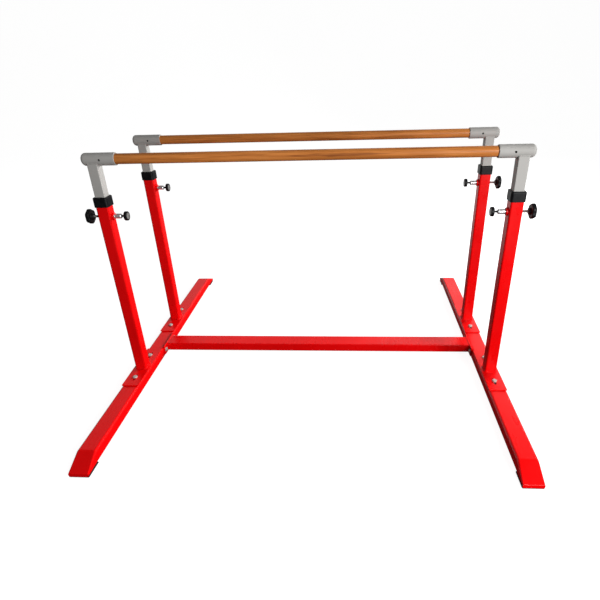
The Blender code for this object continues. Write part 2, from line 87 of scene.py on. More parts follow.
# Details that a box does not show
BEAM_CORNER = 10 * MM
BEAM_SLOPE = 80 * MM
BEAM_END_HEIGHT = 14 * MM
CROSS_CORNER = 4 * MM
POST_HALF = 25 * MM
POST_CORNER = 7.5 * MM
POST_WALL = 2.5 * MM
PLATE_THICKNESS = 5 * MM
INNER_CORNER = 3 * MM
INNER_WALL = 2 * MM
HOLE_COUNT = 7
HOLE_PITCH = 50 * MM
HOLE_RADIUS = 5.3 * MM
SLEEVE_BORE = 20.4 * MM
SLEEVE_END_WALL = 10 * MM
SLEEVE_END_ROUNDING = 15 * MM
CLAMP_HOLE_RADIUS = 5.3 * MM
BOSS_RADIUS = 15 * MM
BOSS_REACH = 8 * MM
PIN_RADIUS = 4 * MM
SLOT_RADIUS = 5.5 * MM
SLOT_LENGTH = 50 * MM
SLOT_DEPTH = 30 * MM
BOLT_HEAD = 9 * MM
SHOWN_BOLT_HEAD = 6.4 * MM  # the photograph's heads are lower than the CAD's
PIN_CAP_RADIUS = 13 * MM
PIN_CAP_DEPTH = 1.4 * MM
GAP = 0.3 * MM


# ---- Mesh tools --------------------------------------------------------------------------------

def outline(half_u, half_v, radius, flat_steps=1):
    """A rounded rectangle about the origin, anticlockwise, with its straight sides in flat_steps parts."""
    radius = max(radius, 0.05 * MM)
    points = []
    for corner in range(4):
        turn = math.pi / 2 * corner
        sign_u, sign_v = ((1, 1), (-1, 1), (-1, -1), (1, -1))[corner]
        centre = (sign_u * (half_u - radius), sign_v * (half_v - radius))
        for i in range(ARC_STEPS + 1):
            angle = turn + math.pi / 2 * i / ARC_STEPS
            points.append((centre[0] + radius * math.cos(angle), centre[1] + radius * math.sin(angle)))
    if flat_steps == 1:
        return points
    full = []
    per_corner = ARC_STEPS + 1
    for i, point in enumerate(points):
        full.append(point)
        if i % per_corner == per_corner - 1:
            after = points[(i + 1) % len(points)]
            for step in range(1, flat_steps):
                share = step / flat_steps
                full.append(tuple(a + (b - a) * share for a, b in zip(point, after)))
    return full


def loft(rings, closed=False, caps=True):
    """Quads from ring to ring. A closed loft joins the last ring to the first, and needs no caps."""
    work = bmesh.new()
    rows = [[work.verts.new(point) for point in ring] for ring in rings]
    pairs = list(zip(rows, rows[1:]))
    if closed:
        pairs.append((rows[-1], rows[0]))
    for below, above in pairs:
        for i in range(len(below)):
            j = (i + 1) % len(below)
            work.faces.new((below[i], below[j], above[j], above[i]))
    if caps and not closed:
        work.faces.new(list(reversed(rows[0])))
        work.faces.new(rows[-1])
    bmesh.ops.remove_doubles(work, verts=work.verts, dist=0.002 * MM)
    bmesh.ops.recalc_face_normals(work, faces=work.faces)
    return work


def square_ring(half, radius, z, flat_steps=1):
    return [(u, v, z) for u, v in outline(half, half, radius, flat_steps)]


def soft_block(low, high, corner, edge, axis="Z"):
    """A block whose four edges along the axis have the corner radius, and whose ends are eased by edge."""
    low, high = Vector(low), Vector(high)
    order = {"X": (1, 2, 0), "Y": (2, 0, 1), "Z": (0, 1, 2)}[axis]
    centre = (low + high) / 2
    half = (high - low) / 2
    u, v, w = order
    rings = []
    for end in (-1, 1):
        steps = range(ARC_STEPS + 1) if end < 0 else reversed(range(ARC_STEPS + 1))
        for i in steps:
            angle = math.pi / 2 * i / ARC_STEPS
            inset = edge * (1 - math.sin(angle))
            along = end * (half[w] - edge * (1 - math.cos(angle)))
            ring = []
            for a, b in outline(half[u] - inset, half[v] - inset, corner - inset):
                point = [0.0, 0.0, 0.0]
                point[u] = centre[u] + a
                point[v] = centre[v] + b
                point[w] = centre[w] + along
                ring.append(point)
            rings.append(ring)
    return loft(rings)


def eased(points, closed=False):
    """A profile with its corners rounded. Each point is (radius, height, rounding)."""
    result = []
    count = len(points)
    for i, (r, z, rounding) in enumerate(points):
        here = Vector((r, z))
        at_end = not closed and i in (0, count - 1)
        if rounding <= 0 or at_end:
            result.append(here)
            continue
        before = Vector(points[i - 1][:2]) - here
        after = Vector(points[(i + 1) % count][:2]) - here
        half_angle = before.angle(after) / 2
        reach = rounding / math.tan(half_angle)
        start = here + before.normalized() * reach
        end = here + after.normalized() * reach
        for step in range(ARC_STEPS + 1):
            share = step / ARC_STEPS
            # A quadratic through the corner is close to the arc, and needs no centre.
            first = start.lerp(here, share)
            second = here.lerp(end, share)
            result.append(first.lerp(second, share))
    return result


def lathe(profile, closed=False, steps=ROUND_STEPS, reach=None):
    """A solid turned about Z from eased profile points. reach(angle, radius) may change a radius."""
    rings = []
    for r, z in profile:
        ring = []
        for i in range(steps):
            angle = 2 * math.pi * i / steps
            radius = reach(angle, r) if reach else r
            ring.append((radius * math.cos(angle), radius * math.sin(angle), z))
        rings.append(ring)
    on_axis = profile[0][0] < 1e-7 and profile[-1][0] < 1e-7
    return loft(rings, closed=closed, caps=not closed and not on_axis)


def bead(path, radius, pitch=3.6 * MM, sides=10):
    """A weld bead along a closed path: a tube whose radius rises and falls once for each ripple."""
    points = [Vector(p) for p in path]
    count = len(points)
    rings = []
    run = 0.0
    for i, point in enumerate(points):
        ahead = points[(i + 1) % count]
        behind = points[i - 1]
        tangent = (ahead - behind).normalized()
        turn = tangent.to_track_quat("Z", "Y").to_matrix()
        ripple = abs(math.sin(math.pi * run / pitch))
        swell = radius * (0.84 + 0.16 * ripple + 0.10 * noise.noise(point * 220.0))
        ring = []
        for k in range(sides):
            angle = 2 * math.pi * k / sides
            ring.append(point + turn @ Vector((swell * math.cos(angle), swell * math.sin(angle), 0.0)))
        rings.append(ring)
        run += (ahead - point).length
    return loft(align_rings(rings), closed=True)


def align_rings(rings):
    """Turns each ring's numbering so that it starts near the start of the ring before it."""
    aligned = [rings[0]]
    for ring in rings[1:]:
        start = aligned[-1][0]
        nearest = min(range(len(ring)), key=lambda k: (ring[k] - start).length)
        aligned.append(ring[nearest:] + ring[:nearest])
    return aligned


def resampled(path, spacing):
    """A closed path again, with its points about spacing apart."""
    points = [Vector(p) for p in path]
    result = []
    for here, after in zip(points, points[1:] + points[:1]):
        parts = max(1, round((after - here).length / spacing))
        result += [here.lerp(after, step / parts) for step in range(parts)]
    return result


def moved(work, matrix):
    bmesh.ops.transform(work, matrix=matrix, verts=work.verts)
    if matrix.determinant() < 0:
        bmesh.ops.reverse_faces(work, faces=work.faces)
    return work


def merged(*parts):
    """Several bmeshes as one. The others are freed."""
    first = parts[0]
    for part in parts[1:]:
        scratch = bpy.data.meshes.new("scratch")
        part.to_mesh(scratch)
        part.free()
        first.from_mesh(scratch)
        bpy.data.meshes.remove(scratch)
    return first


def scratch_object(name, work):
    mesh = bpy.data.meshes.new(name)
    work.to_mesh(mesh)
    work.free()
    obj = bpy.data.objects.new(name, mesh)
    bpy.context.scene.collection.objects.link(obj)
    return obj


def drilled(work, cutters):
    """The bmesh with every cutter taken out of it."""
    blank = scratch_object("blank", work)
    tools = [scratch_object("cutter", cutter) for cutter in cutters]
    for tool in tools:
        boolean = blank.modifiers.new("drill", "BOOLEAN")
        boolean.operation = "DIFFERENCE"
        boolean.solver = "EXACT"
        boolean.object = tool
    bpy.context.view_layer.update()
    graph = bpy.context.evaluated_depsgraph_get()
    mesh = bpy.data.meshes.new_from_object(blank.evaluated_get(graph))
    result = bmesh.new()
    result.from_mesh(mesh)
    bpy.data.meshes.remove(mesh)
    for obj in [blank] + tools:
        bpy.data.objects.remove(obj)
    return result


def rod(radius, start, end, steps=32):
    """A plain cylinder between two points, used as a drill."""
    start, end = Vector(start), Vector(end)
    work = bmesh.new()
    bmesh.ops.create_cone(
        work, cap_ends=True, segments=steps, radius1=radius, radius2=radius, depth=(end - start).length,
        matrix=Matrix.Rotation(math.pi / steps, 4, "Z"),
    )
    turn = (end - start).to_track_quat("Z", "Y").to_matrix().to_4x4()
    return moved(work, Matrix.Translation((start + end) / 2) @ turn)


def slot(y, low, high):
    """A drill for a foot bolt's slot, in a post's own frame."""
    rings = []
    for z in (low, high):
        rings.append([(u, y + v, z) for u, v in outline(SLOT_RADIUS, SLOT_LENGTH / 2, SLOT_RADIUS)])
    return loft(rings)


def hexagon(angle, apothem):
    """The radius of a hexagon at an angle."""
    sector = math.pi / 3
    return apothem / math.cos((angle + sector / 2) % sector - sector / 2)


def add_piece(name, work, body, slot_name, nodes, sharp_angle=32.0, finish=None):
    """Makes the piece's object, shades it, and puts it on its CAD body in place of the nodes."""
    mesh = bpy.data.meshes.new(name)
    work.to_mesh(mesh)
    work.free()
    mesh.shade_smooth()
    mesh.set_sharp_from_angle(angle=math.radians(sharp_angle))
    obj = bpy.data.objects.new(name, mesh)
    bpy.context.scene.collection.objects.link(obj)
    normals = obj.modifiers.new("even_normals", "WEIGHTED_NORMAL")
    normals.keep_sharp = True
    normals.weight = 50
    mesh.materials.append(MATERIALS[finish or slot_name])
    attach(obj, body)
    if nodes:
        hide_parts(*nodes)
    return obj


def at_post(row, side, z=0.0):
    """A post's own frame: its origin on the post's axis, and +X inward."""
    turn = Matrix.Rotation(math.pi if side == "right" else 0.0, 4, "Z")
    return Matrix.Translation((SIDES[side] * POST_X, ROWS[row] * POST_Y, z)) @ turn


LAID_INWARD = Matrix.Rotation(math.pi / 2, 4, "Y")
LAID_OUTWARD = Matrix.Rotation(-math.pi / 2, 4, "Y")


# ---- Materials ---------------------------------------------------------------------------------

RANGE_SOCKETS = ("From Min", "From Max", "To Min", "To Max")


class Nodes:
    """Adds nodes to one material and links them, with short calls."""

    def __init__(self, name, colour, roughness, metallic=0.0):
        self.material = bpy.data.materials.new(name)
        self.material.use_nodes = True
        self.tree = self.material.node_tree
        self.shader = self.tree.nodes["Principled BSDF"]
        self.set("Base Color", (*colour, 1.0))
        self.set("Roughness", roughness)
        self.set("Metallic", metallic)
        self.place = self.add("ShaderNodeTexCoord").outputs["Object"]
        self.height = None

    def set(self, socket, value):
        self.shader.inputs[socket].default_value = value

    def add(self, kind, **inputs):
        node = self.tree.nodes.new(kind)
        for name, value in inputs.items():
            self.feed(node.inputs[name.replace("_", " ")], value)
        return node

    def feed(self, socket, value):
        if isinstance(value, bpy.types.NodeSocket):
            self.tree.links.new(value, socket)
        else:
            socket.default_value = value

    def stretched(self, scale):
        node = self.add("ShaderNodeMapping", Vector=self.place, Scale=scale)
        return node.outputs["Vector"]

    def noise(self, scale, detail=4.0, roughness=0.55, vector=None):
        node = self.add(
            "ShaderNodeTexNoise", Vector=vector or self.place, Scale=scale, Detail=detail, Roughness=roughness
        )
        return node.outputs["Fac"]

    def ramp(self, value, *stops):
        node = self.add("ShaderNodeValToRGB", Fac=value)
        ramp = node.color_ramp
        while len(ramp.elements) < len(stops):
            ramp.elements.new(0.5)
        for element, (position, colour) in zip(ramp.elements, stops):
            element.position = position
            element.color = (*colour, 1.0) if len(colour) == 3 else colour
        return node.outputs["Color"]

    def range(self, value, low, high, new_low, new_high):
        node = self.add("ShaderNodeMapRange", Value=value)
        for name, number in zip(RANGE_SOCKETS, (low, high, new_low, new_high)):
            node.inputs[name].default_value = number
        return node.outputs["Result"]

    def mix(self, factor, first, second, mode="MIX"):
        node = self.tree.nodes.new("ShaderNodeMix")
        node.data_type = "RGBA"
        node.blend_type = mode
        self.feed(node.inputs["Factor"], factor)
        self.feed(node.inputs["A"], first)
        self.feed(node.inputs["B"], second)
        return node.outputs["Result"]

    def link(self, value, socket):
        self.tree.links.new(value, self.shader.inputs[socket])

    def bump(self, value, strength, distance):
        inputs = {"Height": value, "Strength": strength, "Distance": distance}
        node = self.add("ShaderNodeBump", **inputs)
        if self.height is not None:
            self.tree.links.new(self.height, node.inputs["Normal"])
        self.height = node.outputs["Normal"]
        self.link(self.height, "Normal")


def powder_coat(name, colour, dark, light, roughness, peel, gloss, coat):
    """Powder-coated steel: cloudy colour, orange peel, faint rubs and a little dust in the gloss."""
    nodes = Nodes(name, colour, roughness)
    cloud = nodes.noise(7.0, 5.0)
    tint = nodes.ramp(cloud, (0.30, dark), (0.55, colour), (0.78, light))
    specks = nodes.ramp(nodes.noise(420.0, 2.0), (0.72, (1.0, 1.0, 1.0)), (0.84, (0.86, 0.86, 0.86)))
    nodes.link(nodes.mix(1.0, tint, specks, "MULTIPLY"), "Base Color")
    smears = nodes.noise(11.0, 6.0, 0.65, nodes.stretched((1.0, 0.35, 0.6)))
    nodes.link(nodes.range(smears, 0.35, 0.75, roughness - 0.04, roughness + 0.12), "Roughness")
    nodes.set("Specular IOR Level", gloss)
    nodes.set("Coat Weight", coat)
    nodes.set("Coat Roughness", 0.14)
    nodes.bump(nodes.noise(peel, 2.0, 0.4), 0.06, 0.0006)
    nodes.bump(nodes.noise(24.0, 3.0), 0.05, 0.004)
    return nodes.material


def turned_wood():
    """Varnished hardwood with its grain along X: long streaks, fine pores and slow colour drift."""
    nodes = Nodes("wood", (0.50, 0.22, 0.07), 0.35)
    warp = nodes.add("ShaderNodeTexNoise", Vector=nodes.stretched((1.4, 9.0, 9.0)), Scale=1.0, Detail=3.0)
    bent = nodes.mix(0.06, nodes.place, warp.outputs["Color"])
    grain_place = nodes.add("ShaderNodeMapping", Vector=bent, Scale=(1.2, 60.0, 60.0)).outputs["Vector"]
    rings = nodes.noise(1.6, 5.0, 0.6, grain_place)
    fine = nodes.noise(1.0, 4.0, 0.6, nodes.stretched((6.0, 420.0, 420.0)))
    colour = nodes.ramp(
        rings, (0.30, (0.34, 0.105, 0.024)), (0.43, (0.60, 0.205, 0.046)),
        (0.57, (0.73, 0.265, 0.064)), (0.74, (0.80, 0.315, 0.092)),
    )
    pores = nodes.ramp(fine, (0.30, (0.66, 0.60, 0.54)), (0.50, (1.0, 1.0, 1.0)))
    colour = nodes.mix(1.0, colour, pores, "MULTIPLY")
    drift = nodes.ramp(nodes.noise(1.8, 2.0), (0.35, (0.86, 0.83, 0.80)), (0.65, (1.08, 1.06, 1.02)))
    nodes.link(nodes.mix(1.0, colour, drift, "MULTIPLY"), "Base Color")
    nodes.link(nodes.range(fine, 0.3, 0.7, 0.44, 0.30), "Roughness")
    nodes.set("Specular IOR Level", 0.26)
    nodes.bump(fine, 0.18, 0.0004)
    nodes.bump(rings, 0.10, 0.0008)
    return nodes.material


def moulded_plastic():
    nodes = Nodes("black_plastic", (0.008, 0.008, 0.009), 0.42)
    scuff = nodes.noise(60.0, 6.0, 0.7)
    colour = nodes.ramp(scuff, (0.45, (0.0035, 0.0035, 0.0045)), (0.80, (0.012, 0.012, 0.013)))
    nodes.link(colour, "Base Color")
    nodes.set("Specular IOR Level", 0.22)
    nodes.link(nodes.range(scuff, 0.3, 0.8, 0.36, 0.55), "Roughness")
    nodes.bump(nodes.noise(1500.0, 2.0), 0.25, 0.0002)
    return nodes.material


def rubber():
    nodes = Nodes("black_rubber", (0.02, 0.02, 0.02), 0.8)
    dust = nodes.noise(90.0, 6.0, 0.7)
    nodes.link(nodes.ramp(dust, (0.45, (0.014, 0.014, 0.014)), (0.80, (0.060, 0.057, 0.052))), "Base Color")
    nodes.link(nodes.range(dust, 0.3, 0.8, 0.70, 0.92), "Roughness")
    nodes.bump(nodes.noise(900.0, 3.0), 0.35, 0.0003)
    return nodes.material


def plated_steel(name, dark, light, metallic):
    """Zinc-plated steel: faintly yellow, with crystal-like patches and a dulled surface."""
    nodes = Nodes(name, dark, 0.46, metallic)
    patches = nodes.noise(300.0, 4.0, 0.6)
    nodes.link(nodes.ramp(patches, (0.35, dark), (0.65, light)), "Base Color")
    nodes.link(nodes.range(patches, 0.3, 0.7, 0.36, 0.54), "Roughness")
    nodes.bump(nodes.noise(2200.0, 2.0), 0.15, 0.0002)
    return nodes.material


def chrome():
    """Nickel-chrome plate with fine turning marks."""
    nodes = Nodes("chrome", (0.80, 0.80, 0.81), 0.20, 0.70)
    haze = nodes.noise(150.0, 5.0, 0.65)
    nodes.link(nodes.ramp(haze, (0.35, (0.72, 0.72, 0.73)), (0.65, (0.86, 0.86, 0.87))), "Base Color")
    nodes.link(nodes.range(haze, 0.3, 0.75, 0.16, 0.34), "Roughness")
    nodes.bump(nodes.noise(1200.0, 2.0), 0.06, 0.0002)
    return nodes.material


def blackened_steel():
    nodes = Nodes("black_steel", (0.006, 0.006, 0.006), 0.55, 0.0)
    oil = nodes.noise(400.0, 4.0, 0.6)
    nodes.link(nodes.ramp(oil, (0.35, (0.003, 0.003, 0.003)), (0.70, (0.010, 0.009, 0.009))), "Base Color")
    nodes.set("Specular IOR Level", 0.20)
    nodes.link(nodes.range(oil, 0.3, 0.7, 0.45, 0.65), "Roughness")
    nodes.bump(nodes.noise(1800.0, 2.0), 0.12, 0.0002)
    return nodes.material


MATERIALS = {
    "red_paint": powder_coat(
        "red_paint", colour=(0.90, 0.0012, 0.002), dark=(0.82, 0.001, 0.0015), light=(0.94, 0.002, 0.003),
        roughness=0.27, peel=520.0, gloss=0.24, coat=0.05,
    ),
    "grey_paint": powder_coat(
        "grey_paint", colour=(0.44, 0.43, 0.41), dark=(0.40, 0.39, 0.37), light=(0.48, 0.47, 0.45),
        roughness=0.58, peel=900.0, gloss=0.30, coat=0.0,
    ),
    "wood": turned_wood(),
    "black_plastic": moulded_plastic(),
    "black_rubber": rubber(),
    "zinc_steel": plated_steel("zinc_steel", (0.48, 0.46, 0.42), (0.70, 0.68, 0.63), 0.35),
    "dull_zinc": plated_steel("dull_zinc", (0.20, 0.195, 0.19), (0.34, 0.335, 0.32), 0.40),
    "chrome": chrome(),
    "black_steel": blackened_steel(),
}


# ---- Base --------------------------------------------------------------------------------------

def beam_section(y, top, top_corner):
    """The beam's outline at one place along it, in the XZ plane."""
    half = (BEAM_HIGH.x - BEAM_LOW.x) / 2
    bottom = BEAM_LOW.z
    points = []
    for sign, height, radius, start in (
        (1, top, top_corner, 0.0), (-1, top, top_corner, 90.0),
        (-1, bottom, BEAM_CORNER, 180.0), (1, bottom, BEAM_CORNER, 270.0),
    ):
        radius = min(radius, (top - bottom) / 2 - 0.1 * MM)
        up = -1 if height == top else 1
        for i in range(ARC_STEPS + 1):
            angle = math.radians(start + 90.0 * i / ARC_STEPS)
            x = sign * (half - radius) + radius * math.cos(angle)
            z = height + up * radius + radius * math.sin(angle)
            points.append((x, y, z))
    return points


def foot_bolt_places(side):
    """The Y of each foot bolt on one side, from front to back."""
    return sorted(middle(f"foot_bolt_{row}_{side}_{number}").y for row in ROWS for number in (1, 2))


def build_beams():
    end = BEAM_HIGH.y
    top = BEAM_HIGH.z
    kink = end - BEAM_SLOPE
    lip = 2.5 * MM
    drop = (top - BEAM_LOW.z - BEAM_END_HEIGHT) / BEAM_SLOPE
    stations = []
    bend = 5 * MM
    for i in range(ARC_STEPS + 1):
        # The bend at the top of the slope is eased over a short length.
        share = i / ARC_STEPS
        y = kink - bend + 2 * bend * share
        stations.append((y, top - drop * bend * share * share, BEAM_CORNER * (1 - 0.1 * share)))
    slope_end = end - lip
    end_top = top - drop * (slope_end - kink)
    stations.append((slope_end, end_top, 3 * MM))
    for i in range(1, ARC_STEPS + 1):
        angle = math.pi / 2 * i / ARC_STEPS
        stations.append((slope_end + lip * math.sin(angle), end_top - lip * (1 - math.cos(angle)), 3 * MM))
    for side, sign in SIDES.items():
        rings = [beam_section(-y, height, radius) for y, height, radius in reversed(stations)]
        rings += [beam_section(y, height, radius) for y, height, radius in stations]
        slots = [slot(y, top - SLOT_DEPTH, top + 5 * MM) for y in foot_bolt_places(side)]
        work = moved(drilled(loft(rings), slots), Matrix.Translation((sign * POST_X, 0.0, 0.0)))
        add_piece("beam_" + side, work, "frame", "red_paint", ["base_beam_" + side])


def build_pads():
    for row, side in POSTS:
        node = f"foot_pad_{row}_{side}"
        low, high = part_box(node)
        add_piece(
            f"rubber_foot_{row}_{side}", soft_block(low, high, 4 * MM, 0.8 * MM),
            "frame", "black_rubber", [node],
        )


def build_crossbeam():
    middle_z = (CROSS_LOW.z + CROSS_HIGH.z) / 2
    half_y = (CROSS_HIGH.y - CROSS_LOW.y) / 2
    half_z = (CROSS_HIGH.z - CROSS_LOW.z) / 2
    tube = soft_block(CROSS_LOW, CROSS_HIGH, CROSS_CORNER, 0.3 * MM, "X")
    seams = []
    for sign in SIDES.values():
        x = sign * (CROSS_HIGH.x - 0.5 * MM)
        path = [(x, u, middle_z + v) for u, v in outline(half_y, half_z, CROSS_CORNER)]
        seams.append(bead(resampled(path, 0.9 * MM), 2.2 * MM))
    add_piece("cross_tube", merged(tube, *seams), "frame", "red_paint", ["crossbeam"])
    for side in SIDES:
        node = "crossbeam_flange_" + side
        low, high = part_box(node)
        add_piece(
            "cross_plate_" + side, soft_block(low, high, 3 * MM, 0.6 * MM, "X"),
            "frame", "red_paint", [node],
        )


# ---- Posts -------------------------------------------------------------------------------------

def post_parts():
    """One post in its own frame: tube, foot plate, foot weld and the boss of the pull pin."""
    plate_top = PLATE_LOW.z + PLATE_THICKNESS
    plate_half = size("post_front_right").y / 2
    beam_half = (BEAM_HIGH.x - BEAM_LOW.x) / 2
    inside = POST_HALF - POST_WALL
    tube = loft([
        square_ring(POST_HALF, POST_CORNER, plate_top - 0.2 * MM),
        square_ring(POST_HALF, POST_CORNER, POST_TOP - 0.5 * MM),
        square_ring(POST_HALF - 0.5 * MM, POST_CORNER - 0.5 * MM, POST_TOP),
        square_ring(inside, POST_CORNER - POST_WALL, POST_TOP),
        square_ring(inside, POST_CORNER - POST_WALL, plate_top - 0.2 * MM),
    ], closed=True)
    tube = drilled(tube, [
        rod(CLAMP_HOLE_RADIUS, (-POST_HALF - 5 * MM, 0, LOCK_Z), (-inside + 5 * MM, 0, LOCK_Z)),
    ])
    plate = soft_block(
        (-beam_half, -plate_half, PLATE_LOW.z), (beam_half, plate_half, plate_top), 3 * MM, 0.8 * MM
    )
    bolt_offset = (middle("foot_bolt_back_right_2").y - middle("foot_bolt_back_right_1").y) / 2
    plate = drilled(plate, [
        slot(y, PLATE_LOW.z - 5 * MM, plate_top + 5 * MM) for y in (-bolt_offset, bolt_offset)
    ])
    foot = [(u, v, plate_top + 0.8 * MM) for u, v in outline(POST_HALF, POST_HALF, POST_CORNER)]
    foot_weld = bead(resampled(foot, 0.9 * MM), 3.0 * MM)
    boss = lathe(eased([
        (0.0, POST_HALF + BOSS_REACH, 0.0),
        (BOSS_RADIUS, POST_HALF + BOSS_REACH, 1.6 * MM),
        (BOSS_RADIUS, POST_HALF - 1 * MM, 0.0),
        (0.0, POST_HALF - 1 * MM, 0.0),
    ]))
    boss_path = []
    for degrees in range(0, 360, 4):
        angle = math.radians(degrees)
        place = (BOSS_RADIUS * math.cos(angle), BOSS_RADIUS * math.sin(angle), POST_HALF + 0.6 * MM)
        boss_path.append(place)
    boss_weld = bead(resampled(boss_path, 0.8 * MM), 2.0 * MM)
    boss_parts = moved(merged(boss, boss_weld), Matrix.Translation((0, 0, LOCK_Z)) @ LAID_INWARD)
    return merged(tube, plate, foot_weld, boss_parts)


def build_posts():
    for row, side in POSTS:
        work = moved(post_parts(), at_post(row, side))
        add_piece(f"upright_{row}_{side}", work, "frame", "red_paint", [f"post_{row}_{side}"])


def collar():
    half = (COLLAR_HIGH.x - COLLAR_LOW.x) / 2
    mouth = size("inner_post_front_right").x / 2 + GAP
    skirt = POST_HALF - POST_WALL - GAP
    corner = 10 * MM
    top_edge = 5 * MM
    cap_bottom = POST_TOP - 20 * MM
    top = COLLAR_HIGH.z
    sections = [(skirt, 5 * MM, COLLAR_LOW.z), (skirt, 5 * MM, POST_TOP + GAP)]
    sections += [(POST_HALF + GAP, POST_CORNER, POST_TOP + GAP), (POST_HALF + GAP, POST_CORNER, cap_bottom)]
    sections += [(half - 0.8 * MM, corner - 0.8 * MM, cap_bottom), (half, corner, cap_bottom + 0.8 * MM)]
    for i in range(ARC_STEPS + 1):
        angle = math.pi / 2 * i / ARC_STEPS
        inset = top_edge * (1 - math.cos(angle))
        sections.append((half - inset, corner - inset, top - top_edge * (1 - math.sin(angle))))
    sections += [(mouth + 1.2 * MM, INNER_CORNER + 1.2 * MM, top), (mouth, INNER_CORNER, top - 1.2 * MM)]
    sections.append((mouth, INNER_CORNER, COLLAR_LOW.z))
    return loft([square_ring(*section) for section in sections], closed=True)


def build_collars():
    for row, side in POSTS:
        work = moved(collar(), at_post(row, side))
        add_piece(f"collar_{row}_{side}", work, "frame", "black_plastic", [f"post_collar_{row}_{side}"])


# ---- Bars and their inner posts ----------------------------------------------------------------

def inner_post():
    """One inner post in its own frame, with a saddle at its top and the weld to the sleeve."""
    half = size("inner_post_front_right").x / 2
    sleeve_radius = (SLEEVE_HIGH.y - SLEEVE_LOW.y) / 2
    seat = sleeve_radius + GAP

    def saddle(y):
        return BAR_Z - math.sqrt(max(seat * seat - y * y, 0.0))

    flat_steps = 10
    outer = outline(half, half, INNER_CORNER, flat_steps)
    inner = outline(half - INNER_WALL, half - INNER_WALL, INNER_CORNER - INNER_WALL, flat_steps)
    rings = [
        [(u, v, INNER_LOW.z) for u, v in outer],
        [(u, v, saddle(v)) for u, v in outer],
        [(u, v, saddle(v)) for u, v in inner],
        [(u, v, INNER_LOW.z) for u, v in inner],
    ]
    drills = []
    for i in range(HOLE_COUNT):
        z = LOCK_Z - i * HOLE_PITCH
        drills.append(rod(HOLE_RADIUS, (half - INNER_WALL - 5 * MM, 0, z), (half + 5 * MM, 0, z)))
    tube = drilled(loft(rings, closed=True), drills)
    seam = [(u, v, saddle(v) - 0.4 * MM) for u, v in outer]
    return merged(tube, bead(resampled(seam, 0.8 * MM), 1.9 * MM))


def sleeve():
    """A sleeve along +Z with its mouth at 0 and its set screw hole on -Y."""
    radius = (SLEEVE_HIGH.y - SLEEVE_LOW.y) / 2
    length = SLEEVE_HIGH.x - SLEEVE_LOW.x
    bottom = length - SLEEVE_END_WALL
    profile = [Vector((0.0, length))]
    for i in range(2 * ARC_STEPS):
        angle = math.pi / 2 * i / (2 * ARC_STEPS)
        profile.append(Vector((
            radius - SLEEVE_END_ROUNDING * (1 - math.sin(angle)),
            length - SLEEVE_END_ROUNDING * (1 - math.cos(angle)),
        )))
    profile += eased([
        (radius, length - SLEEVE_END_ROUNDING, 0.0), (radius, 0.0, 2.6 * MM),
        (SLEEVE_BORE, 0.0, 0.4 * MM), (SLEEVE_BORE, bottom, 0.0), (0.0, bottom, 0.0),
    ])
    height = middle("set_screw_front_right").x - SLEEVE_LOW.x
    hole_radius = size("set_screw_front_right").x / 2 + GAP
    hole = rod(hole_radius, (0.0, -SLEEVE_BORE + 3 * MM, height), (0.0, -radius - 5 * MM, height))
    return drilled(lathe(profile, steps=96), [hole])


def set_screw():
    """A grub screw along +Z from 0, with a hexagon socket in its end."""
    radius = size("set_screw_front_right").x / 2
    length = size("set_screw_front_right").y
    socket = 2.7 * MM
    rim = 3.3 * MM
    depth = min(4 * MM, 0.6 * length)
    body = lathe(eased([
        (0.0, 0.0, 0.0), (radius, 0.0, 0.3 * MM), (radius, length, 0.5 * MM), (rim, length, 0.0),
    ]), steps=48)
    bmesh.ops.delete(body, geom=[f for f in body.faces if len(f.verts) > 8], context="FACES")
    rings = []
    for use_hexagon, z in ((False, length), (True, length), (True, length - depth)):
        ring = []
        for i in range(48):
            angle = 2 * math.pi * i / 48
            r = hexagon(angle, socket) if use_hexagon else rim
            ring.append((r * math.cos(angle), r * math.sin(angle), z))
        rings.append(ring)
    top = loft(rings, caps=False)
    bmesh.ops.contextual_create(top, geom=[
        e for e in top.edges if e.is_boundary and all(v.co.z < length - depth / 2 for v in e.verts)
    ])
    whole = merged(body, top)
    bmesh.ops.remove_doubles(whole, verts=whole.verts, dist=0.002 * MM)
    bmesh.ops.recalc_face_normals(whole, faces=whole.faces)
    return whole


def build_bars():
    half_length = size("wooden_bar_front").x / 2
    radius = size("wooden_bar_front").z / 2
    for row, y in ROWS.items():
        rings = []
        stations = 180
        for i in range(stations + 1):
            x = -half_length + 2 * half_length * i / stations
            from_end = half_length - abs(x)
            ease = 1.5 * MM * max(0.0, 1 - from_end / (1.5 * MM))
            ring = []
            for k in range(ROUND_STEPS):
                angle = 2 * math.pi * k / ROUND_STEPS
                spot = Vector((x * 2.0, y + math.cos(angle) * 0.4, math.sin(angle) * 0.4))
                r = radius - ease - 0.10 * MM * (0.5 + 0.5 * noise.noise(spot))
                ring.append((x, y * POST_Y + r * math.cos(angle), BAR_Z + r * math.sin(angle)))
            rings.append(ring)
        add_piece("rail_" + row, loft(rings), row + "_bar", "wood", ["wooden_bar_" + row], 50.0)


def build_bar_ends():
    for row, side in POSTS:
        body = row + "_bar"
        add_piece(
            f"riser_{row}_{side}", moved(inner_post(), at_post(row, side)),
            body, "grey_paint", [f"inner_post_{row}_{side}"],
        )
        sign = SIDES[side]
        out = Matrix.Rotation(sign * math.pi / 2, 4, "Y")
        place = Matrix.Translation((sign * SLEEVE_LOW.x, ROWS[row] * POST_Y, BAR_Z)) @ out
        add_piece(
            f"socket_{row}_{side}", moved(sleeve(), place),
            body, "grey_paint", [f"bar_sleeve_{row}_{side}"],
        )
        low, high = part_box(f"set_screw_{row}_{side}")
        forward = Matrix.Rotation(math.pi / 2, 4, "X")
        place = Matrix.Translation(((low.x + high.x) / 2, high.y, BAR_Z)) @ forward
        add_piece(
            f"grub_screw_{row}_{side}", moved(set_screw(), place),
            body, "black_steel", [f"set_screw_{row}_{side}"],
        )


# ---- Pull pins and clamps ----------------------------------------------------------------------

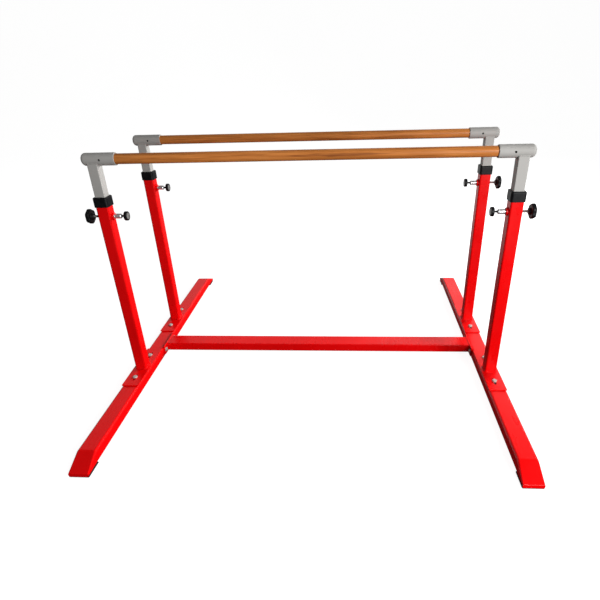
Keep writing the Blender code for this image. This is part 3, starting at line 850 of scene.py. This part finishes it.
def span_along_x(node, sign):
    """A node's nearest and furthest distance from the post's axis, measured along X."""
    low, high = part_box(node)
    ends = sorted(abs(x - sign * POST_X) for x in (low.x, high.x))
    return ends[0], ends[1]


def plunger(start, end):
    face = POST_HALF + BOSS_REACH + GAP
    bore = PIN_RADIUS + GAP
    return lathe(eased([
        (bore, end, 0.0), (8.0 * MM, end, 0.8 * MM), (10 * MM, end - 3 * MM, 1.0 * MM),
        (10 * MM, face + 5 * MM, 0.4 * MM), (9.2 * MM, face + 4.2 * MM, 0.3 * MM),
        (9.2 * MM, face + 3 * MM, 0.3 * MM), (10 * MM, face + 2.2 * MM, 0.4 * MM),
        (10 * MM, face, 0.4 * MM), (6 * MM, face, 0.0), (6 * MM, start, 0.4 * MM), (bore, start, 0.0),
    ], closed=True), closed=True)


def pull_pin(start, end, radius):
    length = 14 * MM
    knob = end - length
    return lathe(eased([
        (0.0, end - PIN_CAP_DEPTH, 0.0), (PIN_CAP_RADIUS, end - PIN_CAP_DEPTH, 0.3 * MM),
        (PIN_CAP_RADIUS, end, 0.5 * MM),
        (radius, end, 3.0 * MM), (radius, knob + 2 * MM, 2.5 * MM), (10 * MM, knob, 2.0 * MM),
        (6.2 * MM, knob, 0.5 * MM), (PIN_RADIUS, knob - 1.5 * MM, 0.5 * MM),
        (PIN_RADIUS, start + 1.2 * MM, 0.5 * MM), (2.8 * MM, start, 0.4 * MM), (0.0, start, 0.0),
    ]))


def pin_cap(end):
    """The plated disc let into the end of a pull pin's knob, with the riveted pin in its middle."""
    radius = PIN_CAP_RADIUS - 0.2 * MM
    return lathe(eased([
        (0.0, end - 0.2 * MM, 0.0), (3.2 * MM, end - 0.2 * MM, 0.8 * MM),
        (4.2 * MM, end - 0.9 * MM, 0.4 * MM),
        (radius, end - 0.7 * MM, 0.6 * MM), (radius, end - PIN_CAP_DEPTH + 0.1 * MM, 0.0),
        (0.0, end - PIN_CAP_DEPTH + 0.1 * MM, 0.0),
    ]))


def build_pull_pins():
    for row, side in POSTS:
        tag = f"{row}_{side}"
        matrix = at_post(row, side, LOCK_Z) @ LAID_INWARD
        start, end = span_along_x("plunger_body_" + tag, SIDES[side])
        add_piece(
            "plunger_" + tag, moved(plunger(start, end), matrix),
            "frame", "chrome", ["plunger_body_" + tag],
        )
        start, end = span_along_x("pull_pin_" + tag, SIDES[side])
        radius = size("pull_pin_" + tag).z / 2
        add_piece(
            "pin_knob_" + tag, moved(pull_pin(start, end, radius), matrix),
            "pull_pin_" + tag, "black_plastic", ["pull_pin_" + tag],
        )
        add_piece(
            "pin_cap_" + tag, moved(pin_cap(end), matrix),
            "pull_pin_" + tag, "zinc_steel", [], finish="dull_zinc",
        )


def star_knob(start, end, radius):
    """A knob along +Z with six rounded lobes, a hub behind it and a dished face with a cap."""
    hub = 13 * MM
    disc = end - 16 * MM
    lobes = 6
    valley = 27 / 30

    def lobed(angle, r):
        if r <= hub:
            return r
        depth = (r - hub) / (radius - hub)
        wave = (1 - valley) * (0.5 - 0.5 * math.cos(lobes * angle))
        return r * (1 - wave * depth * depth)

    return lathe(eased([
        (0.0, end - 1.5 * MM, 0.0), (7.5 * MM, end - 1.5 * MM, 0.8 * MM), (9 * MM, end - 3.5 * MM, 0.8 * MM),
        (16 * MM, end - 3.5 * MM, 3.0 * MM), (22 * MM, end, 3.0 * MM), (radius, end, 5.0 * MM),
        (radius, disc, 4.5 * MM), (hub + 2 * MM, disc, 1.5 * MM), (hub - 1 * MM, start + 1 * MM, 0.8 * MM),
        (hub - 2 * MM, start, 0.5 * MM), (5.3 * MM, start, 0.0), (5.3 * MM, start + 4 * MM, 0.0),
        (0.0, start + 4 * MM, 0.0),
    ]), steps=144, reach=lobed)


def threaded_rod(start, end, radius):
    """A screw along +Z. Its thread is a row of fine ridges."""
    pitch = 1.5 * MM
    profile = [(0.0, end), (radius - 0.8 * MM, end)]
    count = int((end - start - 2 * MM) / pitch)
    for i in range(count):
        top = end - 0.8 * MM - i * pitch
        profile += [(radius - 0.7 * MM, top), (radius, top - 0.45 * pitch), (radius, top - 0.55 * pitch)]
    profile += [(radius - 0.7 * MM, start + 0.4 * MM), (radius - 1.2 * MM, start), (0.0, start)]
    return lathe(profile, steps=40)


def build_clamps():
    for row, side in CLAMPED_POSTS:
        tag = f"{row}_{side}"
        matrix = at_post(row, side, LOCK_Z) @ LAID_OUTWARD
        start, end = span_along_x("clamp_screw_" + tag, SIDES[side])
        radius = size("clamp_screw_" + tag).z / 2
        add_piece(
            "clamp_rod_" + tag, moved(threaded_rod(start, end, radius), matrix),
            "clamp_screw_" + tag, "zinc_steel", ["clamp_screw_" + tag], finish="dull_zinc",
        )
        start, end = span_along_x("clamp_knob_" + tag, SIDES[side])
        add_piece(
            "star_knob_" + tag, moved(star_knob(start, end, size("clamp_knob_" + tag).z / 2), matrix),
            "clamp_knob_" + tag, "black_plastic", ["clamp_knob_" + tag],
        )


# ---- Bolts -------------------------------------------------------------------------------------

def bolt():
    """A hex bolt and washer. The washer rests on 0 and the shank runs down."""
    apothem = 8.4 * MM
    low = 2.0 * MM
    high = SHOWN_BOLT_HEAD
    flat_top = 7.6 * MM
    washer_radius = size("foot_bolt_front_left_1").x / 2
    washer = lathe(eased([
        (0.0, low, 0.0), (washer_radius, low, 0.5 * MM), (washer_radius, 0.0, 0.4 * MM), (0.0, 0.0, 0.0),
    ]))
    steps = 72
    rings = []
    for kind in ("base", "chamfer", "top", "dish_edge", "dish"):
        ring = []
        for i in range(steps):
            angle = 2 * math.pi * i / steps
            side = min(hexagon(angle, apothem), 9.6 * MM)
            r, z = {
                "base": (side, low),
                "chamfer": (side, high - max(side - flat_top, 0.0) * 0.62),
                "top": (flat_top, high),
                "dish_edge": (5.6 * MM, high),
                "dish": (5.0 * MM, high - 0.5 * MM),
            }[kind]
            ring.append((r * math.cos(angle), r * math.sin(angle), z))
        rings.append(ring)
    shank = lathe([(0.0, 0.5 * MM), (5 * MM, 0.5 * MM), (5 * MM, -22 * MM), (0.0, -22 * MM)], steps=24)
    return merged(loft(rings), washer, shank)


def build_bolts():
    for row, side in POSTS:
        for number in (1, 2):
            node = f"foot_bolt_{row}_{side}_{number}"
            low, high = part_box(node)
            head = Vector(((low.x + high.x) / 2, (low.y + high.y) / 2, high.z - BOLT_HEAD))
            turn = Matrix.Rotation(math.radians(17.0 * number + 9.0 * SIDES[side]), 4, "Z")
            work = moved(bolt(), Matrix.Translation(head) @ turn)
            add_piece(f"plate_bolt_{row}_{side}_{number}", work, "frame", "zinc_steel", [node])
    for side, sign in SIDES.items():
        for number in (1, 2):
            node = f"flange_bolt_{side}_{number}"
            low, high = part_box(node)
            inner = low.x if sign > 0 else high.x
            head = Vector((inner + sign * BOLT_HEAD, (low.y + high.y) / 2, (low.z + high.z) / 2))
            turn = Matrix.Rotation(-sign * math.pi / 2, 4, "Y")
            work = moved(bolt(), Matrix.Translation(head) @ turn)
            add_piece(f"beam_bolt_{side}_{number}", work, "frame", "zinc_steel", [node])


# ---- Stage -------------------------------------------------------------------------------------

def look_at(obj, target):
    direction = Vector(target) - obj.location
    obj.rotation_mode = "QUATERNION"
    obj.rotation_quaternion = direction.to_track_quat("-Z", "Y")


# Fitted to the edges in the photograph. Angles are in degrees, and the camera looks down by the pitch.
CAMERA_PLACE = (0.1862, -2.0279, 1.3174)
CAMERA_YAW = -4.149
CAMERA_PITCH = 26.9187
CAMERA_ROLL = -1.8748
CAMERA_LENS = 28.295
CAMERA_SHIFT_X = -0.0366
CAMERA_SHIFT_Y = 0.0003


def add_camera():
    data = bpy.data.cameras.new("camera")
    data.sensor_width = 36.0
    data.lens = CAMERA_LENS
    data.shift_x = CAMERA_SHIFT_X
    data.shift_y = CAMERA_SHIFT_Y
    data.clip_end = 60.0
    camera = bpy.data.objects.new("camera", data)
    bpy.context.scene.collection.objects.link(camera)
    camera.location = CAMERA_PLACE
    yaw, pitch, roll = (math.radians(a) for a in (CAMERA_YAW, CAMERA_PITCH, CAMERA_ROLL))
    forward = Vector((math.sin(yaw) * math.cos(pitch), math.cos(yaw) * math.cos(pitch), -math.sin(pitch)))
    level = Vector((math.cos(yaw), -math.sin(yaw), 0.0))
    up = level.cross(forward)
    right = level * math.cos(roll) + up * math.sin(roll)
    above = up * math.cos(roll) - level * math.sin(roll)
    camera.rotation_mode = "QUATERNION"
    camera.rotation_quaternion = Matrix((right, above, -forward)).transposed().to_quaternion()
    bpy.context.scene.camera = camera


def add_area_light(name, location, target, width, height, power):
    data = bpy.data.lights.new(name, "AREA")
    data.shape = "RECTANGLE"
    data.size = width
    data.size_y = height
    data.energy = power
    obj = bpy.data.objects.new(name, data)
    bpy.context.scene.collection.objects.link(obj)
    obj.location = location
    look_at(obj, target)
    return obj


def add_floor():
    """A pale floor that curves up into a wall behind the object."""
    half_width = 14.0
    front, bend_start, radius, top = -9.0, 5.0, 3.0, 9.0
    bend_steps = 16
    section = [(front, 0.0), (bend_start, 0.0)]
    for i in range(1, bend_steps + 1):
        angle = math.pi / 2 * i / bend_steps
        section.append((bend_start + radius * math.sin(angle), radius * (1 - math.cos(angle))))
    section.append((bend_start + radius, top))
    work = bmesh.new()
    rows = [[work.verts.new((x, y, z)) for y, z in section] for x in (-half_width, half_width)]
    for i in range(len(section) - 1):
        work.faces.new((rows[0][i], rows[1][i], rows[1][i + 1], rows[0][i + 1]))
    mesh = bpy.data.meshes.new("floor")
    work.to_mesh(mesh)
    work.free()
    mesh.shade_smooth()
    floor = bpy.data.objects.new("floor", mesh)
    bpy.context.scene.collection.objects.link(floor)
    nodes = Nodes("floor_paper", (0.30, 0.30, 0.30), 0.9)
    cloud = nodes.noise(2.0, 3.0)
    nodes.link(nodes.ramp(cloud, (0.3, (0.29, 0.29, 0.29)), (0.7, (0.31, 0.31, 0.31))), "Base Color")
    nodes.set("Specular IOR Level", 0.0)
    nodes.set("Emission Color", (1.0, 1.0, 1.0, 1.0))
    nodes.set("Emission Strength", 0.94)
    mesh.materials.append(nodes.material)
    floor.visible_glossy = False
    floor.visible_diffuse = False


def add_world():
    """The studio's light: a dark room with a pale wall behind the object, brightest below the horizon.

    Rays straight from the camera see an even white in its place, so that every view has a pale backdrop.
    """
    world = bpy.data.worlds.new("studio")
    world.use_nodes = True
    tree = world.node_tree
    background = tree.nodes["Background"]
    coordinates = tree.nodes.new("ShaderNodeTexCoord")
    split = tree.nodes.new("ShaderNodeSeparateXYZ")
    tree.links.new(coordinates.outputs["Generated"], split.inputs["Vector"])

    def spread(axis, low, high, new_low, new_high):
        node = tree.nodes.new("ShaderNodeMapRange")
        node.interpolation_type = "SMOOTHSTEP"
        tree.links.new(split.outputs[axis], node.inputs["Value"])
        for name, number in zip(RANGE_SOCKETS, (low, high, new_low, new_high)):
            node.inputs[name].default_value = number
        return node.outputs["Result"]

    def combine(operation, first, second):
        node = tree.nodes.new("ShaderNodeMath")
        node.operation = operation
        for socket, value in zip(node.inputs, (first, second)):
            if isinstance(value, float):
                socket.default_value = value
            else:
                tree.links.new(value, socket)
        return node.outputs["Value"]

    behind = spread("Y", -0.1, 0.6, 0.0, 1.0)
    below_top = combine("MULTIPLY", spread("Z", 0.45, 0.85, 0.42, 0.03), spread("Z", -0.45, 0.10, 0.0, 1.0))
    low_band = combine("MULTIPLY", spread("Z", -0.42, -0.22, 0.0, 1.0), spread("Z", 0.0, 0.15, 1.0, 0.0))
    left = spread("X", -0.45, 0.05, 0.9, 0.0)
    wall = combine("ADD", below_top, combine("MULTIPLY", low_band, left))
    light = combine("ADD", combine("MULTIPLY", wall, behind), spread("Z", -0.60, -0.15, 0.015, 0.09))
    backdrop = tree.nodes.new("ShaderNodeMixRGB")
    tree.links.new(tree.nodes.new("ShaderNodeLightPath").outputs["Is Camera Ray"], backdrop.inputs["Fac"])
    tree.links.new(light, backdrop.inputs["Color1"])
    backdrop.inputs["Color2"].default_value = (0.96, 0.96, 0.96, 1.0)
    tree.links.new(backdrop.outputs["Color"], background.inputs["Color"])
    background.inputs["Strength"].default_value = 1.0
    bpy.context.scene.world = world


def add_lights():
    centre = (0.0, 0.0, 0.4)
    add_area_light("key", (2.2, -2.85, 1.5), centre, width=1.8, height=1.8, power=128.0)
    side = add_area_light("side", (3.05, 2.4, 1.65), centre, width=1.7, height=1.7, power=222.0)
    side.visible_glossy = False
    add_area_light("wall_glow", (1.9, 4.2, 2.4), (0.5, 0.0, 0.2), width=3.0, height=2.2, power=14.0)


# ---- Everything --------------------------------------------------------------------------------

build_beams()
build_pads()
build_crossbeam()
build_posts()
build_collars()
build_bars()
build_bar_ends()
build_pull_pins()
build_clamps()
build_bolts()
add_floor()
add_world()
add_lights()
add_camera()
bpy.context.scene.view_settings.view_transform = "Standard"
